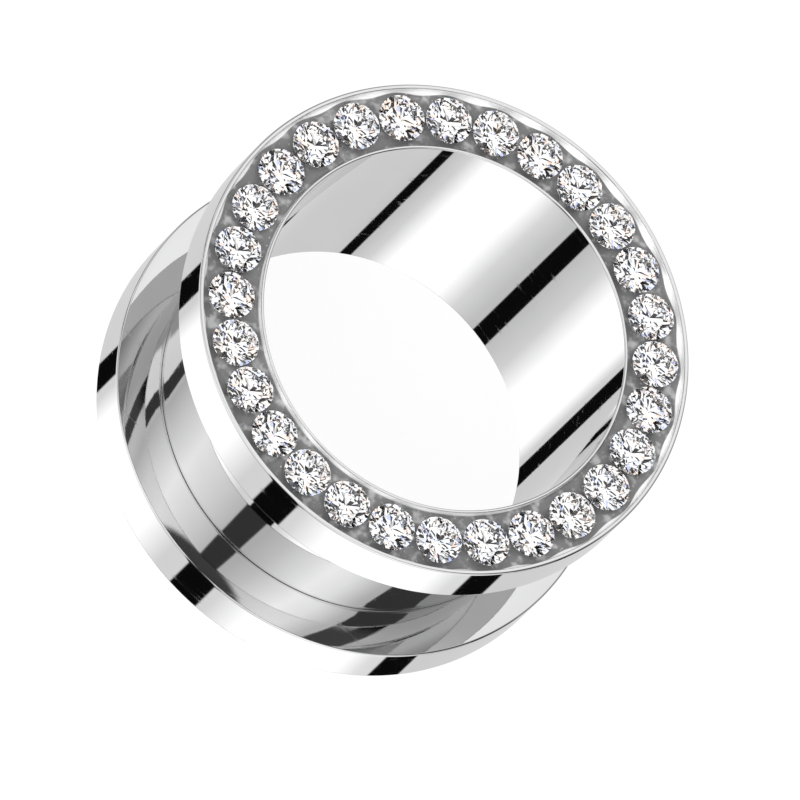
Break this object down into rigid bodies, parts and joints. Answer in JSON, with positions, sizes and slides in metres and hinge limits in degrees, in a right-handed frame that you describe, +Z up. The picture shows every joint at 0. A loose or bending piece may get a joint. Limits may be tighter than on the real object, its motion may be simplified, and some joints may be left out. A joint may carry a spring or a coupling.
{
  "type": "ear tunnel",
  "caption": "Screw-fit tunnel for a stretched earlobe: an open polished steel tube with a front flange set with a row of round clear stones and a plain back ring that unscrews.",
  "frame": {"origin": "centre of the back ring's flat rear face, which the tunnel stands on", "axes": "+Z up along the tunnel's axis, from the back ring towards the stone-set face; +X through the middle of the first stone"},
  "size_m": [0.0172, 0.0172, 0.01],
  "materials": {
    "polished_steel": "mirror polished surgical steel with a satin grey stone channel",
    "ring_steel": "mirror polished surgical steel",
    "clear_stone": "clear round brilliant, polished facets"
  },
  "bodies": {
    "ring": {"back_ring": "ring_steel"},
    "tunnel": {"tunnel_body": "polished_steel", "stone_01": "clear_stone", "stone_02": "clear_stone", "stone_03": "clear_stone", "stone_04": "clear_stone", "stone_05": "clear_stone", "stone_06": "clear_stone", "stone_07": "clear_stone", "stone_08": "clear_stone", "stone_09": "clear_stone", "stone_10": "clear_stone", "stone_11": "clear_stone", "stone_12": "clear_stone", "stone_13": "clear_stone", "stone_14": "clear_stone", "stone_15": "clear_stone", "stone_16": "clear_stone", "stone_17": "clear_stone", "stone_18": "clear_stone", "stone_19": "clear_stone", "stone_20": "clear_stone", "stone_21": "clear_stone", "stone_22": "clear_stone", "stone_23": "clear_stone", "stone_24": "clear_stone", "stone_25": "clear_stone", "stone_26": "clear_stone", "stone_27": "clear_stone", "stone_28": "clear_stone"}
  },
  "joints": [
    {"name": "back_ring_unscrews", "type": "slide", "parent": "ring", "child": "tunnel", "axis": [0, 0, 1], "range_m": [0, 0.012]}
  ]
}
